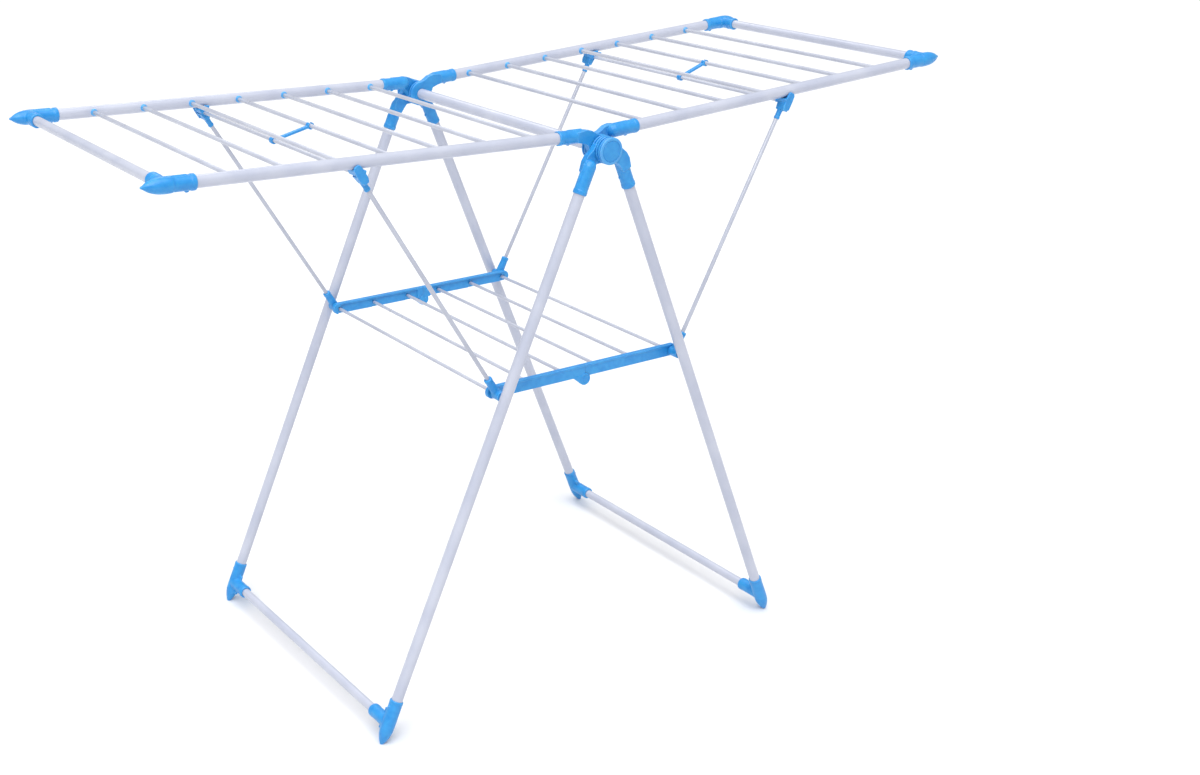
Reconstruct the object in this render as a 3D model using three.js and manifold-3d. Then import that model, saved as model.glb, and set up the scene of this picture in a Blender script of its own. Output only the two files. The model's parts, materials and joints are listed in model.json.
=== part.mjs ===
// Folding clothes drying rack: two hinged leg frames, two rod wings, wing supports and a folding shelf.
// Units are millimetres. X runs along the wings, Y along the rods, Z is up.
// The origin is on the ground under the middle of the rack.
import * as THREE from 'three';
import { mergeVertices } from 'three/addons/utils/BufferGeometryUtils.js';
import Module from 'manifold-3d';

const wasm = await Module();
wasm.setup();

// ---- driving dimensions --------------------------------------------------------------------

const HUB_HEIGHT = 950;            // hinge axis above the ground
const LEG_ANGLE = 23.2;            // each leg from the vertical, degrees
const WING_ANGLE = { left: 1.6, right: 3.5 };   // each wing above the horizontal, degrees
const WING_Y = 268;                // wing side tube centre line from the middle plane
const LEG_OFFSET = 20;             // leg centre line stands this far outside the hinge axis
const WING_OFFSET = 20.7;          // wing centre line stands this far above the hinge axis

const TUBE_DIAMETER = 19;          // legs and wing side tubes
const TUBE_WALL = 0.8;
const LEG_Y = WING_Y + TUBE_DIAMETER + 4.5;   // leg tube centre line from the middle plane
const SPINE_DIAMETER = 19;         // tube between the two hubs
const SPINE_WALL = 1;
const BAR_DIAMETER = 16;           // foot crossbars and wing end tubes
const ROD_DIAMETER = 7;            // drying rods of the wings
const SHELF_ROD_DIAMETER = 6;
const ROD_WALL = 0.6;
const SUPPORT_ROD_DIAMETER = 8;
const CROSS_ROD_DIAMETER = 6;

const END_TUBE_AT = 744;           // wing end tube from the hinge axis
const ROD_COUNT = 7;               // drying rods in each wing
const FIRST_ROD = 108.6;           // first drying rod from the hinge axis
const LAST_ROD = END_TUBE_AT - 106.8;
const ROD_PITCH = (LAST_ROD - FIRST_ROD) / (ROD_COUNT - 1);
const ROD_DEPTH = 7.5;             // how far a rod reaches into its side tube

const KNUCKLE_PITCH = 12;          // hub knuckles stand side by side along the axis
const KNUCKLE_RADIUS = 22;
const KNUCKLE_SLOT = { right_wing: 0, left_wing: 1, left_leg: 2, right_leg: 3 };
const HUB_INNER_Y = WING_Y - 12;   // inner face of the first knuckle
const HUB_BOLT_DIAMETER = 12;
const PLUG_START = 30;             // bolt plug inside the spine, from the first knuckle inwards
const PLUG_END = 2;
const CAP_RADIUS = 22;
const CAP_THICKNESS = 3;
const SOCKET_WALL = 1.7;           // plastic around a tube in a hub socket or foot
const SOCKET_START = 24.5;         // sleeve, tube stop and mouth of a hub socket from the hinge axis
const SOCKET_FLOOR = 36;
const SOCKET_END = 80;
const WEB_REACH = 6;               // web of a hub socket past the tube stop
const WEB_FOOT = [6, -17];         // lowest corner of that web on the knuckle

const FOOT_LENGTH = 80;            // foot sleeve, measured up the leg from the ground
const FOOT_GRIP = 26;              // length of leg tube inside the foot
const TIP_RADIUS = 4;              // foot tip just below the ground, before it is cut flat
const CROSSBAR_HEIGHT = 35;
const COLLAR_LENGTH = 50;          // crossbar collar, from the leg centre line inwards
const COLLAR_WALL = 2.6;
const BAR_STANDOFF = 14;           // crossbar end from the leg centre line

const CORNER_START = END_TUBE_AT - 47;     // mouth of the corner connector from the hinge axis
const NOSE_AT = END_TUBE_AT + 34.5;        // tip of the corner connector from the hinge axis
const CORNER_WALL = 3;
const SIDE_TUBE_GAP = 6;           // plastic between the side tube's end and the end tube
const END_TUBE_INSET = 8;          // end tube's bore stops this far from the side tube centre line
const NOSE_RADIUS = 2;
const CORNER_ARM = 38;             // side socket, from the side tube centre line inwards

const SHELF_PIVOT_HEIGHT = HUB_HEIGHT - 384;
const RAIL_OUTER_Y = WING_Y - 8;
const RAIL_INNER_Y = RAIL_OUTER_Y - 9;
const RAIL_TOP = SHELF_PIVOT_HEIGHT + 11;
const RAIL_BOTTOM = SHELF_PIVOT_HEIGHT - 10;
const RAIL_OVERHANG = 13;          // rail past the shelf pivot
const RAIL_TOP_CHAMFER = 3;
const RAIL_BOTTOM_CHAMFER = 6;
const SHELF_ROD_COUNT = 3;         // shelf rods in each half
const FIRST_SHELF_ROD = 35;        // from the middle
const LAST_SHELF_ROD_INSET = 1.34; // from the shelf pivot inwards
const SHELF_ROD_HEIGHT = SHELF_PIVOT_HEIGHT - 1;
const SHELF_ROD_DEPTH = 4.5;
const MID_HINGE_HEIGHT = SHELF_PIVOT_HEIGHT - 15;
const MID_HINGE_RADIUS = 11;
const MID_PIN_DIAMETER = 6;

const SADDLE_FROM_ROD = { left: 66.5, right: -58.5 };  // saddle beyond the rod its tie clips under
const PIVOT_PIN_DIAMETER = 7;
const PIVOT_PIN_DEPTH = 4;         // pivot pin inside the left rail
const SUPPORT_BOSS_RADIUS = 9;
const ARM_SOCKET_LENGTH = 44;      // tapered socket at each end of a support arm
const ARM_SOCKET_RADIUS = 7.5;
const ARM_SOCKET_TIP = 5.5;
const SADDLE_LENGTH = 20;          // along the wing tube
const SADDLE_FLOOR = 4.5;
const SADDLE_CHEEK = 3.5;
const SADDLE_DEPTH = 4.5;          // how far the cheeks reach up beside the tube
const SADDLE_BOTTOM = 1.5;         // plastic under the cross rod
const TIE_WIDTH = 9;
const TIE_THICKNESS = 3.5;
const TIE_RING_WALL = 2.6;
const TIE_CLIP_WALL = 2.2;
const TIE_ROD = { left: 3, right: 4 };   // the drying rod that each tie clips under, counted from 0

const FIT = 0.3;                   // gap between pieces that touch or slide
const ROUND = 16;                  // facets of a tube
const ROUND_ROD = 8;               // facets of a rod
const ROUND_PIN = 12;              // facets of a pin, a support rod or a tie ring
const ROUND_DISC = 20;             // facets of a knuckle, a cap or a hinge disc
const PAST = 1;                    // a cutter reaches this far past the surface it opens

const STEEL = { color: 0xe9e9f2, roughness: 0.32, metalness: 0.1 };
const PLASTIC = { color: 0x4aa3ec, roughness: 0.42, metalness: 0.0 };

const SIDES = [['left', -1], ['right', 1]];
const ENDS = [['near', -1], ['far', 1]];

// ---- solids ----------------------------------------------------------------------------------

function point(x, y, z) {
  return new THREE.Vector3(x, y, z);
}

// A three.js geometry as a closed solid with its faces pointing out.
function solid(geometry) {
  geometry.deleteAttribute('normal');
  geometry.deleteAttribute('uv');
  const merged = mergeVertices(geometry, 1e-4);
  const corners = merged.attributes.position.array;
  const triangles = [];
  let volume = 0;
  for (let i = 0; i < merged.index.count; i += 3) {
    const [a, b, c] = [0, 1, 2].map((k) => merged.index.getX(i + k));
    if (a === b || b === c || a === c) continue;
    const [p, q, r] = [a, b, c].map((k) => point(...corners.slice(3 * k, 3 * k + 3)));
    volume += p.dot(q.cross(r));
    triangles.push([a, b, c]);
  }
  const facing = volume > 0 ? triangles : triangles.map(([a, b, c]) => [a, c, b]);
  const triVerts = Uint32Array.from(facing.flat());
  return new wasm.Manifold(new wasm.Mesh({ numProp: 3, vertProperties: corners, triVerts }));
}

function geometryOf(manifold) {
  const mesh = manifold.getMesh();
  const geometry = new THREE.BufferGeometry();
  geometry.setAttribute('position', new THREE.BufferAttribute(new Float32Array(mesh.vertProperties), 3));
  geometry.setIndex(new THREE.BufferAttribute(new Uint32Array(mesh.triVerts), 1));
  return geometry;
}

function alongAxis(geometry, start, direction) {
  const turn = new THREE.Quaternion().setFromUnitVectors(point(0, 1, 0), direction.clone().normalize());
  geometry.applyQuaternion(turn);
  geometry.translate(start.x, start.y, start.z);
  return solid(geometry);
}

// A round bar between two points, tapered when a second radius is given.
function bar(start, end, radius, facets = ROUND, endRadius = radius) {
  const length = start.distanceTo(end);
  const geometry = new THREE.CylinderGeometry(endRadius, radius, length, facets);
  geometry.translate(0, length / 2, 0);
  return alongAxis(geometry, start, end.clone().sub(start));
}

function tube(start, end, diameter, wall, facets = ROUND) {
  const past = end.clone().sub(start).setLength(PAST);
  const bore = bar(start.clone().sub(past), end.clone().add(past), diameter / 2 - wall, facets);
  return bar(start, end, diameter / 2, facets).subtract(bore);
}

// A turned shape: the profile lists [distance along the axis, radius] and closes on the axis.
function turned(profile, start, direction, facets = ROUND) {
  const outline = [[profile[0][0], 0], ...profile, [profile.at(-1)[0], 0]];
  const points = outline.map(([along, radius]) => new THREE.Vector2(radius, along));
  return alongAxis(new THREE.LatheGeometry(points, facets), start, direction);
}

function block(center, size, tilt = 0) {
  const geometry = new THREE.BoxGeometry(size.x, size.y, size.z);
  geometry.rotateY(tilt);
  geometry.translate(center.x, center.y, center.z);
  return solid(geometry);
}

// An outline in the XZ plane, given as [x, z] points, with its thickness from fromY to toY.
function plate(outline, fromY, toY) {
  const shape = new THREE.Shape(outline.map(([x, z]) => new THREE.Vector2(x, z)));
  const depth = Math.abs(toY - fromY);
  const geometry = new THREE.ExtrudeGeometry(shape, { depth, bevelEnabled: false });
  geometry.rotateX(Math.PI / 2);
  geometry.translate(0, Math.max(fromY, toY), 0);
  return solid(geometry);
}

// ---- frames ----------------------------------------------------------------------------------

const rack = new THREE.Group();

// X points away from the middle on both sides; Y turns with it, so the frame stays right-handed.
function sideFrame(side) {
  const group = new THREE.Group();
  group.rotation.z = side < 0 ? Math.PI : 0;
  rack.add(group);
  return group;
}

// X runs along the member away from the hinge axis, and Z points to the side of its offset.
function memberFrame(side, tilt) {
  const group = new THREE.Group();
  group.position.z = HUB_HEIGHT;
  group.rotation.y = tilt;
  sideFrame(side).add(group);
  return group;
}

function radians(degrees) {
  return THREE.MathUtils.degToRad(degrees);
}

function addPiece(group, name, manifold, look) {
  const mesh = new THREE.Mesh(geometryOf(manifold), new THREE.MeshStandardMaterial(look));
  mesh.name = name;
  group.add(mesh);
}

// ---- places shared by several pieces --------------------------------------------------------

const LEG_TILT = radians(LEG_ANGLE);
const HUB_OUTER_Y = HUB_INNER_Y + KNUCKLE_PITCH * Object.keys(KNUCKLE_SLOT).length;
const SLEEVE_RADIUS = TUBE_DIAMETER / 2 + FIT + SOCKET_WALL;
const COLLAR_RADIUS = BAR_DIAMETER / 2 + FIT + COLLAR_WALL;
const CORNER_RADIUS = TUBE_DIAMETER / 2 + FIT + CORNER_WALL;

// Distance down the leg centre line at which it is at the given height.
function legReach(height) {
  return (HUB_HEIGHT + LEG_OFFSET * Math.sin(LEG_TILT) - height) / Math.cos(LEG_TILT);
}

// Distance from the middle plane at which the leg centre line is at the given height.
function legX(height) {
  return (HUB_HEIGHT - height) * Math.tan(LEG_TILT) + LEG_OFFSET / Math.cos(LEG_TILT);
}

// A point of a wing in its side frame: distance along it, and offset above the hinge axis.
function wingPoint(name, along, offset) {
  const tilt = radians(WING_ANGLE[name]);
  return point(
    along * Math.cos(tilt) - offset * Math.sin(tilt),
    0,
    HUB_HEIGHT + along * Math.sin(tilt) + offset * Math.cos(tilt),
  );
}

const SHELF_PIVOT_X = legX(SHELF_PIVOT_HEIGHT);
const SHELF_PIVOT = point(SHELF_PIVOT_X, 0, SHELF_PIVOT_HEIGHT);

function rodReach(index) {
  return FIRST_ROD + index * ROD_PITCH;
}

// Distance along the wing of the saddle that props it.
function saddleReach(name) {
  return rodReach(TIE_ROD[name]) + SADDLE_FROM_ROD[name];
}

const LAST_SHELF_ROD = SHELF_PIVOT_X - LAST_SHELF_ROD_INSET;
const SHELF_ROD_PITCH = (LAST_SHELF_ROD - FIRST_SHELF_ROD) / (SHELF_ROD_COUNT - 1);

function shelfRodX(index) {
  return FIRST_SHELF_ROD + index * SHELF_ROD_PITCH;
}

const TUBE_UNDERSIDE = WING_OFFSET - TUBE_DIAMETER / 2;
const CROSS_ROD_OFFSET = TUBE_UNDERSIDE - FIT - SADDLE_FLOOR - CROSS_ROD_DIAMETER / 2;

// ---- hub -------------------------------------------------------------------------------------

// The spine is the axle tube between the hubs.
function spineTube() {
  const reach = HUB_INNER_Y - FIT;
  return tube(point(0, -reach, HUB_HEIGHT), point(0, reach, HUB_HEIGHT), SPINE_DIAMETER,
    SPINE_WALL);
}

// A hub bolt: a plug inside the spine, a shank through the four knuckles and a flat round cap.
function hubBolt(end) {
  const plugRadius = SPINE_DIAMETER / 2 - SPINE_WALL - FIT;
  const capFrom = HUB_OUTER_Y + FIT;
  const profile = [
    [HUB_INNER_Y - PLUG_START, plugRadius],
    [HUB_INNER_Y - PLUG_END, plugRadius],
    [HUB_INNER_Y - PLUG_END, HUB_BOLT_DIAMETER / 2],
    [capFrom, HUB_BOLT_DIAMETER / 2],
    [capFrom, CAP_RADIUS],
    [capFrom + CAP_THICKNESS - 1, CAP_RADIUS],
    [capFrom + CAP_THICKNESS, CAP_RADIUS - 2],
  ];
  return turned(profile, point(0, 0, HUB_HEIGHT), point(0, end, 0), ROUND_DISC);
}

// A hub socket in its member's frame: a knuckle on the hinge axis, a cranked web and a tube sleeve.
function hubSocket(slot, tubeY, offset, mirror) {
  const from = mirror * (HUB_INNER_Y + slot * KNUCKLE_PITCH + FIT);
  const to = mirror * (HUB_INNER_Y + (slot + 1) * KNUCKLE_PITCH - FIT);
  const y = mirror * tubeY;
  const knuckle = bar(point(0, from, 0), point(0, to, 0), KNUCKLE_RADIUS, ROUND_DISC);
  const web = plate([
    WEB_FOOT,
    [SOCKET_START + 8, offset - SLEEVE_RADIUS + 1],
    [SOCKET_FLOOR + WEB_REACH, offset - 4],
    [SOCKET_FLOOR + WEB_REACH, offset + 4],
    [SOCKET_START, offset + SLEEVE_RADIUS - 2],
    [-2, KNUCKLE_RADIUS - 2],
  ], from, to);
  const sleeve = bar(point(SOCKET_START, y, offset), point(SOCKET_END, y, offset), SLEEVE_RADIUS);
  const axle = bar(point(0, mirror * HUB_INNER_Y, 0), point(0, mirror * HUB_OUTER_Y, 0),
    HUB_BOLT_DIAMETER / 2 + FIT);
  const bore = bar(point(SOCKET_FLOOR, y, offset), point(SOCKET_END + PAST, y, offset),
    TUBE_DIAMETER / 2 + FIT);
  return knuckle.add(web).add(sleeve).subtract(axle).subtract(bore);
}

addPiece(rack, 'hub_spine_tube', spineTube(), STEEL);
for (const [endName, end] of ENDS) {
  addPiece(rack, `hub_bolt_${endName}`, hubBolt(end), PLASTIC);
}

// ---- leg frames ------------------------------------------------------------------------------

const FOOT_MOUTH = legReach(0) - FOOT_LENGTH;
const FOOT_FLOOR = FOOT_MOUTH + FOOT_GRIP;

function legTube(y, mirror) {
  const from = point(SOCKET_FLOOR + FIT, y, LEG_OFFSET);
  const to = point(FOOT_FLOOR - FIT, y, LEG_OFFSET);
  const pivot = point(legReach(SHELF_PIVOT_HEIGHT), y, LEG_OFFSET);
  const inward = pivot.clone().setY(y - mirror * TUBE_DIAMETER);
  const pinHole = bar(inward, pivot, PIVOT_PIN_DIAMETER / 2 + FIT, ROUND_PIN);
  return tube(from, to, TUBE_DIAMETER, TUBE_WALL).subtract(pinHole);
}

// A foot: a sleeve on the leg, a collar for the crossbar and a blunt tip cut flat at the ground.
function foot(y, mirror) {
  const ground = legReach(0);
  const barAt = legReach(CROSSBAR_HEIGHT);
  const body = turned([
    [FOOT_MOUTH, SLEEVE_RADIUS],
    [ground - 30, SLEEVE_RADIUS + 1],
    [ground - 12, SLEEVE_RADIUS - 1.5],
    [ground - 2, SLEEVE_RADIUS - 4.5],
    [ground + 5, TIP_RADIUS],
  ], point(0, y, LEG_OFFSET), point(1, 0, 0));
  const inner = y - mirror * COLLAR_LENGTH;
  const collar = bar(point(barAt, y, LEG_OFFSET), point(barAt, inner, LEG_OFFSET), COLLAR_RADIUS);
  const legBore = bar(point(FOOT_MOUTH - PAST, y, LEG_OFFSET), point(FOOT_FLOOR, y, LEG_OFFSET),
    TUBE_DIAMETER / 2 + FIT);
  const barBore = bar(point(barAt, inner - mirror, LEG_OFFSET),
    point(barAt, y - mirror * (BAR_STANDOFF - FIT), LEG_OFFSET), BAR_DIAMETER / 2 + FIT);
  const below = 60;
  const groundNormal = point(Math.cos(LEG_TILT), 0, -Math.sin(LEG_TILT));
  const cutCenter = point(ground, y, LEG_OFFSET).addScaledVector(groundNormal, below / 2);
  const cut = block(cutCenter, point(below, 80, 120), LEG_TILT);
  return body.add(collar).subtract(legBore).subtract(barBore).subtract(cut);
}

for (const [sideName, side] of SIDES) {
  const frame = memberFrame(side, Math.PI / 2 - LEG_TILT);
  for (const [endName, end] of ENDS) {
    const mirror = side * end;
    const y = mirror * LEG_Y;
    const socket = hubSocket(KNUCKLE_SLOT[`${sideName}_leg`], LEG_Y, LEG_OFFSET, mirror);
    addPiece(frame, `${sideName}_leg_socket_${endName}`, socket, PLASTIC);
    addPiece(frame, `${sideName}_leg_tube_${endName}`, legTube(y, mirror), STEEL);
    addPiece(frame, `${sideName}_foot_${endName}`, foot(y, mirror), PLASTIC);
  }
  const barAt = legReach(CROSSBAR_HEIGHT);
  const reach = LEG_Y - BAR_STANDOFF;
  const crossbar = tube(point(barAt, -reach, LEG_OFFSET), point(barAt, reach, LEG_OFFSET),
    BAR_DIAMETER, TUBE_WALL);
  addPiece(frame, `${sideName}_foot_crossbar`, crossbar, STEEL);
}

// ---- wings -----------------------------------------------------------------------------------

const SIDE_TUBE_END = END_TUBE_AT - BAR_DIAMETER / 2 - SIDE_TUBE_GAP;

function wingSideTube(y, mirror) {
  let side = tube(point(SOCKET_FLOOR + FIT, y, WING_OFFSET), point(SIDE_TUBE_END, y, WING_OFFSET),
    TUBE_DIAMETER, TUBE_WALL);
  for (let i = 0; i < ROD_COUNT; i++) {
    const inside = point(rodReach(i), y, WING_OFFSET);
    const outside = inside.clone().setY(y - mirror * TUBE_DIAMETER);
    side = side.subtract(bar(outside, inside, ROD_DIAMETER / 2 + FIT, ROUND_ROD));
  }
  return side;
}

// A corner connector: a bullet-nosed sleeve on the side tube with a socket for the end tube.
function wingCorner(y, mirror) {
  const noseLength = NOSE_AT - END_TUBE_AT;
  const body = turned([
    [CORNER_START, CORNER_RADIUS],
    [END_TUBE_AT - 4, CORNER_RADIUS],
    [END_TUBE_AT + noseLength * 0.35, CORNER_RADIUS * 0.9],
    [END_TUBE_AT + noseLength * 0.7, CORNER_RADIUS * 0.62],
    [NOSE_AT, NOSE_RADIUS],
  ], point(0, y, WING_OFFSET), point(1, 0, 0));
  const inner = y - mirror * CORNER_ARM;
  const arm = bar(point(END_TUBE_AT, y, WING_OFFSET), point(END_TUBE_AT, inner, WING_OFFSET),
    COLLAR_RADIUS);
  const sideBore = bar(point(CORNER_START - PAST, y, WING_OFFSET),
    point(SIDE_TUBE_END + FIT, y, WING_OFFSET), TUBE_DIAMETER / 2 + FIT);
  const endBore = bar(point(END_TUBE_AT, inner - mirror, WING_OFFSET),
    point(END_TUBE_AT, y - mirror * END_TUBE_INSET, WING_OFFSET), BAR_DIAMETER / 2 + FIT);
  return body.add(arm).subtract(sideBore).subtract(endBore);
}

for (const [sideName, side] of SIDES) {
  const frame = memberFrame(side, -radians(WING_ANGLE[sideName]));
  for (const [endName, end] of ENDS) {
    const mirror = side * end;
    const y = mirror * WING_Y;
    const socket = hubSocket(KNUCKLE_SLOT[`${sideName}_wing`], WING_Y, WING_OFFSET, mirror);
    addPiece(frame, `${sideName}_wing_socket_${endName}`, socket, PLASTIC);
    addPiece(frame, `${sideName}_wing_tube_${endName}`, wingSideTube(y, mirror), STEEL);
    addPiece(frame, `${sideName}_wing_corner_${endName}`, wingCorner(y, mirror), PLASTIC);
  }
  const endReach = WING_Y - END_TUBE_INSET - FIT;
  const endTube = tube(point(END_TUBE_AT, -endReach, WING_OFFSET),
    point(END_TUBE_AT, endReach, WING_OFFSET), BAR_DIAMETER, TUBE_WALL);
  addPiece(frame, `${sideName}_wing_end_tube`, endTube, STEEL);
  const rodReachY = WING_Y - TUBE_DIAMETER / 2 + ROD_DEPTH;
  for (let i = 0; i < ROD_COUNT; i++) {
    const rod = tube(point(rodReach(i), -rodReachY, WING_OFFSET),
      point(rodReach(i), rodReachY, WING_OFFSET), ROD_DIAMETER, ROD_WALL, ROUND_ROD);
    addPiece(frame, `${sideName}_wing_rod_${i + 1}`, rod, STEEL);
  }
}

// ---- shelf -----------------------------------------------------------------------------------

const RAIL_MIDDLE_Y = (RAIL_INNER_Y + RAIL_OUTER_Y) / 2;
const PIN_SIDE = 'left';

// Half of a shelf rail. The left half carries the hinge pin, the right half the hinge bore.
// The left half is also bored for the pivot pin of the support.
function shelfRail(sideName, mirror) {
  const outward = SHELF_PIVOT_X + RAIL_OVERHANG;
  const body = plate([
    [FIT, RAIL_TOP],
    [outward - RAIL_TOP_CHAMFER, RAIL_TOP],
    [outward, RAIL_TOP - RAIL_TOP_CHAMFER],
    [outward, RAIL_BOTTOM + RAIL_BOTTOM_CHAMFER],
    [outward - RAIL_BOTTOM_CHAMFER, RAIL_BOTTOM],
    [FIT, RAIL_BOTTOM],
  ], mirror * RAIL_INNER_Y, mirror * RAIL_OUTER_Y);
  const isPinSide = sideName === PIN_SIDE;
  const ownY = isPinSide ? RAIL_OUTER_Y : RAIL_INNER_Y;
  const otherY = isPinSide ? RAIL_INNER_Y : RAIL_OUTER_Y;
  const gapY = RAIL_MIDDLE_Y + Math.sign(ownY - otherY) * FIT / 2;
  const disc = bar(point(0, mirror * gapY, MID_HINGE_HEIGHT),
    point(0, mirror * ownY, MID_HINGE_HEIGHT), MID_HINGE_RADIUS, ROUND_DISC);
  const otherFace = gapY - Math.sign(ownY - otherY) * FIT;
  const beyond = otherY + Math.sign(otherY - ownY);
  const notch = bar(point(0, mirror * beyond, MID_HINGE_HEIGHT),
    point(0, mirror * otherFace, MID_HINGE_HEIGHT), MID_HINGE_RADIUS + FIT, ROUND_DISC);
  let rail = body.subtract(notch).add(disc);
  if (isPinSide) {
    const pin = bar(point(0, mirror * (ownY - PAST), MID_HINGE_HEIGHT),
      point(0, mirror * (otherY + PAST / 2), MID_HINGE_HEIGHT), MID_PIN_DIAMETER / 2, ROUND_PIN);
    const pivotBore = bar(point(SHELF_PIVOT_X, mirror * (RAIL_OUTER_Y + PAST), SHELF_PIVOT_HEIGHT),
      point(SHELF_PIVOT_X, mirror * (RAIL_OUTER_Y - PIVOT_PIN_DEPTH - 0.5), SHELF_PIVOT_HEIGHT),
      PIVOT_PIN_DIAMETER / 2 + FIT, ROUND_PIN);
    rail = rail.add(pin).subtract(pivotBore);
  } else {
    const bore = bar(point(0, mirror * (ownY - PAST), MID_HINGE_HEIGHT),
      point(0, mirror * (otherY + PAST), MID_HINGE_HEIGHT), MID_PIN_DIAMETER / 2 + FIT, ROUND_PIN);
    rail = rail.subtract(bore);
  }
  for (let i = 0; i < SHELF_ROD_COUNT; i++) {
    rail = rail.subtract(bar(point(shelfRodX(i), mirror * (RAIL_INNER_Y - PAST), SHELF_ROD_HEIGHT),
      point(shelfRodX(i), mirror * (RAIL_INNER_Y + SHELF_ROD_DEPTH + FIT), SHELF_ROD_HEIGHT),
      SHELF_ROD_DIAMETER / 2 + FIT, ROUND_ROD));
  }
  return rail;
}

for (const [sideName, side] of SIDES) {
  const frame = sideFrame(side);
  for (const [endName, end] of ENDS) {
    addPiece(frame, `shelf_rail_${sideName}_${endName}`, shelfRail(sideName, side * end), PLASTIC);
  }
  const reach = RAIL_INNER_Y + SHELF_ROD_DEPTH;
  for (let i = 0; i < SHELF_ROD_COUNT; i++) {
    const rod = tube(point(shelfRodX(i), -reach, SHELF_ROD_HEIGHT),
      point(shelfRodX(i), reach, SHELF_ROD_HEIGHT), SHELF_ROD_DIAMETER, ROD_WALL, ROUND_ROD);
    addPiece(frame, `shelf_rod_${sideName}_${i + 1}`, rod, STEEL);
  }
}

// ---- wing supports and ties ------------------------------------------------------------------

// One arm of a support: pivot boss and pin at the leg, a rod, and a saddle under the wing tube.
function supportArm(sideName, mirror) {
  const y = mirror * WING_Y;
  const tilt = radians(WING_ANGLE[sideName]);
  const reach = saddleReach(sideName);
  const pivot = SHELF_PIVOT.clone().setY(y);
  const seat = wingPoint(sideName, reach, CROSS_ROD_OFFSET + 1).setY(y);
  const along = seat.clone().sub(pivot).normalize();
  const at = (distance) => pivot.clone().addScaledVector(along, distance);
  const length = pivot.distanceTo(seat);
  const bossFrom = mirror * (RAIL_OUTER_Y + FIT);
  const bossTo = mirror * (LEG_Y - TUBE_DIAMETER / 2 - FIT);
  const boss = bar(pivot.clone().setY(bossFrom), pivot.clone().setY(bossTo), SUPPORT_BOSS_RADIUS);
  const pinFrom = sideName === PIN_SIDE ? mirror * (RAIL_OUTER_Y - PIVOT_PIN_DEPTH) : bossFrom;
  const pin = bar(pivot.clone().setY(pinFrom), pivot.clone().setY(mirror * (LEG_Y - 1)),
    PIVOT_PIN_DIAMETER / 2, ROUND_PIN);
  const rod = bar(pivot, seat, SUPPORT_ROD_DIAMETER / 2, ROUND_PIN);
  const lowerSocket = bar(at(4), at(ARM_SOCKET_LENGTH), ARM_SOCKET_RADIUS, ROUND_PIN, ARM_SOCKET_TIP);
  const upperSocket = bar(at(length - ARM_SOCKET_LENGTH), at(length), ARM_SOCKET_TIP, ROUND_PIN,
    ARM_SOCKET_RADIUS);
  const grip = TUBE_DIAMETER / 2 + FIT;
  const cheekTop = TUBE_UNDERSIDE + SADDLE_DEPTH;
  const saddleBottom = CROSS_ROD_OFFSET - CROSS_ROD_DIAMETER / 2 - SADDLE_BOTTOM;
  const middle = wingPoint(sideName, reach, (cheekTop + saddleBottom) / 2).setY(y);
  const size = point(SADDLE_LENGTH, 2 * (grip + SADDLE_CHEEK), cheekTop - saddleBottom);
  const saddle = block(middle, size, -tilt);
  const channelFrom = wingPoint(sideName, reach - SADDLE_LENGTH, WING_OFFSET).setY(y);
  const channelTo = wingPoint(sideName, reach + SADDLE_LENGTH, WING_OFFSET).setY(y);
  const channel = bar(channelFrom, channelTo, grip + FIT);
  return boss.add(pin).add(rod).add(lowerSocket).add(upperSocket).add(saddle).subtract(channel);
}

function wingSupport(sideName) {
  const cross = wingPoint(sideName, saddleReach(sideName), CROSS_ROD_OFFSET);
  const crossRod = bar(cross.clone().setY(-WING_Y), cross.clone().setY(WING_Y),
    CROSS_ROD_DIAMETER / 2, ROUND_PIN);
  return supportArm(sideName, -1).add(supportArm(sideName, 1)).add(crossRod);
}

// A tie: a ring on the cross rod, a flat bar, and an open clip that cups a drying rod from below.
function supportTie(sideName) {
  const ringCenter = wingPoint(sideName, saddleReach(sideName), CROSS_ROD_OFFSET);
  const rodCenter = wingPoint(sideName, rodReach(TIE_ROD[sideName]), WING_OFFSET);
  const span = rodCenter.clone().sub(ringCenter);
  const slope = -Math.atan2(span.z, span.x);
  const halfWidth = TIE_WIDTH / 2;
  const across = (center, radius, extra = 0) => bar(
    center.clone().setY(-halfWidth - extra), center.clone().setY(halfWidth + extra), radius, ROUND_PIN);
  const ringRadius = CROSS_ROD_DIAMETER / 2 + FIT + TIE_RING_WALL;
  const clipBore = ROD_DIAMETER / 2 + FIT;
  const clipRadius = clipBore + TIE_CLIP_WALL;
  const strip = block(ringCenter.clone().add(rodCenter).multiplyScalar(0.5),
    point(span.length(), TIE_WIDTH - 2, TIE_THICKNESS), slope);
  const mouth = block(rodCenter.clone().add(point(0, 0, clipRadius)),
    point(4 * clipRadius, TIE_WIDTH + 2, 2 * clipRadius), -radians(WING_ANGLE[sideName]));
  return across(ringCenter, ringRadius).add(strip).add(across(rodCenter, clipRadius))
    .subtract(across(ringCenter, CROSS_ROD_DIAMETER / 2 + FIT, PAST))
    .subtract(across(rodCenter, clipBore, PAST)).subtract(mouth);
}

for (const [sideName, side] of SIDES) {
  const frame = sideFrame(side);
  addPiece(frame, `${sideName}_wing_support`, wingSupport(sideName), STEEL);
  addPiece(frame, `${sideName}_support_tie`, supportTie(sideName), PLASTIC);
}

export default rack;
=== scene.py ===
import json
import math

import bmesh
import bpy
from mathutils import Matrix, Vector


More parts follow.
